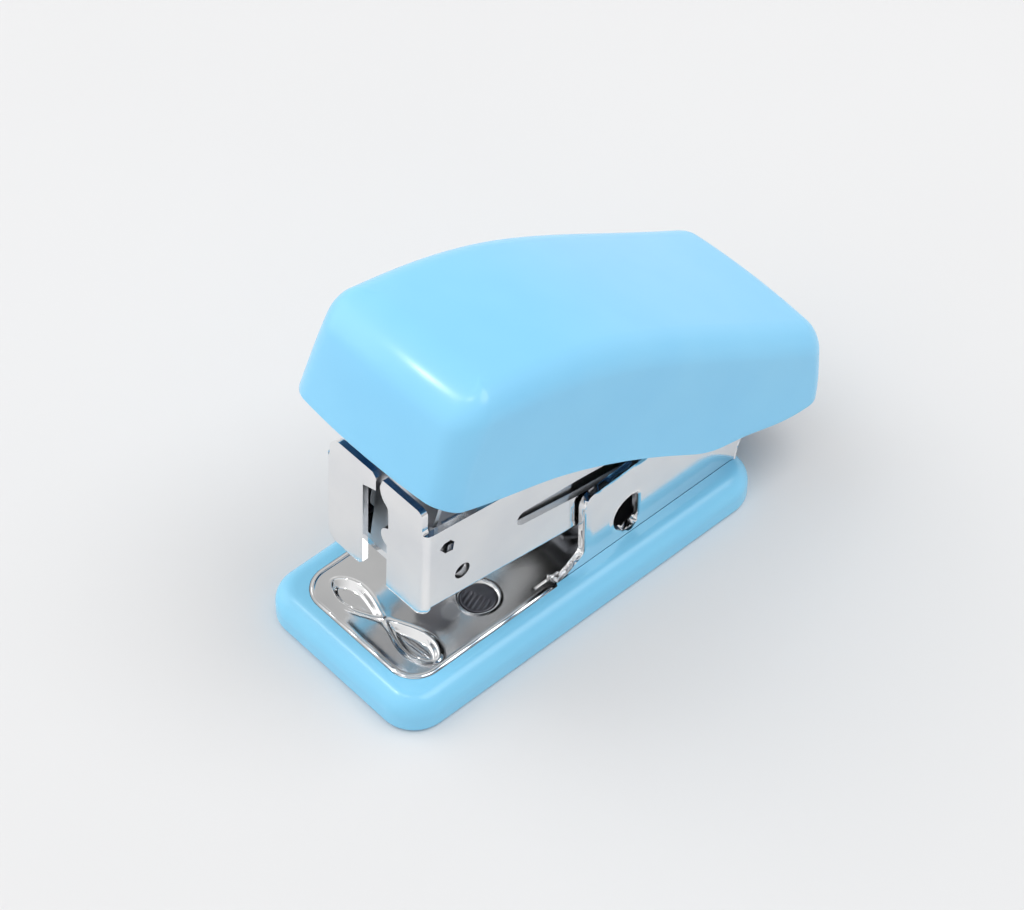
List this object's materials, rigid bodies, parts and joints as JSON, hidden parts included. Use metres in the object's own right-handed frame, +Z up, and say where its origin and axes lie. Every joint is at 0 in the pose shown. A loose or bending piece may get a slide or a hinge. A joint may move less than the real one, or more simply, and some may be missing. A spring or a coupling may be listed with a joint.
{
  "type": "stapler",
  "caption": "Mini desk stapler: glossy plastic base and humped cap on a plated sheet-steel bracket, magazine with sprung pusher, and driver handle on one hinge pin.",
  "frame": {"origin": "on the floor, under the middle of the bounding box, with the stapler standing at rest", "axes": "+Z up; -Y is the way the stapling head points, so the length runs along Y; X is across, and the left and right sides mirror each other apart from the tabs between the front flaps"},
  "size_m": [0.023, 0.0581, 0.0411],
  "materials": {
    "blue_plastic": "injection-moulded glossy sky-blue plastic",
    "chrome_sheet": "bright chrome-plated sheet steel",
    "plated_steel": "zinc-plated pressed steel",
    "spring_steel": "drawn spring steel",
    "dark_steel": "unplated clinched rivet head"
  },
  "bodies": {
    "base": {"base_shell": "blue_plastic", "base_frame": "chrome_sheet", "frame_rivets": "dark_steel", "return_spring": "spring_steel", "return_spring_rivet": "plated_steel", "hinge_pin": "plated_steel", "hinge_spacer": "plated_steel"},
    "magazine": {"magazine_sleeve": "chrome_sheet", "staple_rail": "plated_steel", "rail_rivets": "plated_steel", "guide_rod": "plated_steel", "rod_clip": "spring_steel", "pusher_spring": "spring_steel", "handle_spring": "spring_steel"},
    "pusher": {"pusher": "plated_steel"},
    "handle": {"handle_cover": "blue_plastic", "handle_frame": "plated_steel", "driver_blade": "spring_steel", "blade_rivets": "plated_steel", "cover_retainers": "spring_steel"}
  },
  "joints": [
    {"name": "magazine_hinge", "type": "hinge", "parent": "base", "child": "magazine", "pos_m": [0, 0.01694, 0.0122], "axis": [-1, 0, 0], "range_deg": [-8.6, 0], "stiffness_Nm_per_rad": 0.6, "springref_deg": 8.59, "deforming": ["return_spring"]},
    {"name": "handle_hinge", "type": "hinge", "parent": "magazine", "child": "handle", "pos_m": [0, 0.01694, 0.0122], "axis": [-1, 0, 0], "range_deg": [-18, 50], "stiffness_Nm_per_rad": 0.6, "deforming": ["handle_spring"]},
    {"name": "pusher_slide", "type": "slide", "parent": "magazine", "child": "pusher", "axis": [0, 0.9877, -0.1564], "range_m": [0, 0.014], "stiffness_N_per_m": 60, "springref_m": -0.012, "deforming": ["pusher_spring"]}
  ]
}
